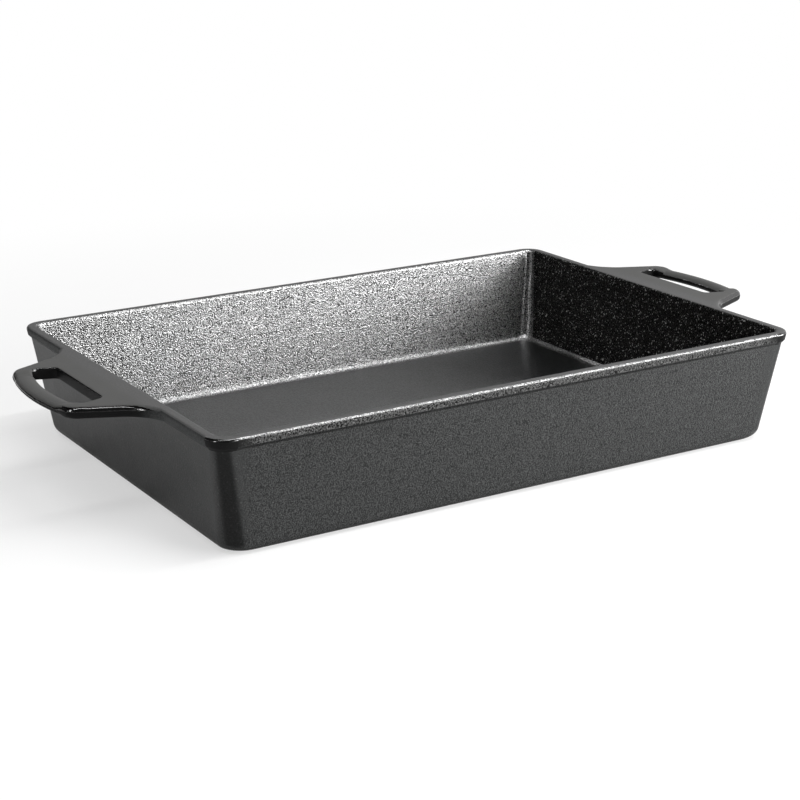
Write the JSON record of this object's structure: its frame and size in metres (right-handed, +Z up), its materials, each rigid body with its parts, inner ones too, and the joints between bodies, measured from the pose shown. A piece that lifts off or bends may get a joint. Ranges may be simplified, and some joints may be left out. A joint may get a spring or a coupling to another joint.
{
  "type": "casserole dish",
  "caption": "Rectangular cast-iron casserole dish with drafted walls, a banded rim and a bowed loop handle at each end, for baking, roasting and serving.",
  "frame": {"origin": "middle of the flat underside, on the surface that the dish stands on", "axes": "+X along the length of the dish, from the left handle to the right one; +Y across the width, from the front wall to the rear one; +Z up, out of the basin"},
  "size_m": [0.4212, 0.2416, 0.0602],
  "materials": {
    "cast_iron": "seasoned satin black, lightly pebbled by the casting sand"
  },
  "bodies": {
    "root": {"floor_plate": "cast_iron", "front_wall": "cast_iron", "rear_wall": "cast_iron", "left_wall": "cast_iron", "right_wall": "cast_iron", "front_rim": "cast_iron", "rear_rim": "cast_iron", "left_handle": "cast_iron", "right_handle": "cast_iron"}
  },
  "joints": []
}
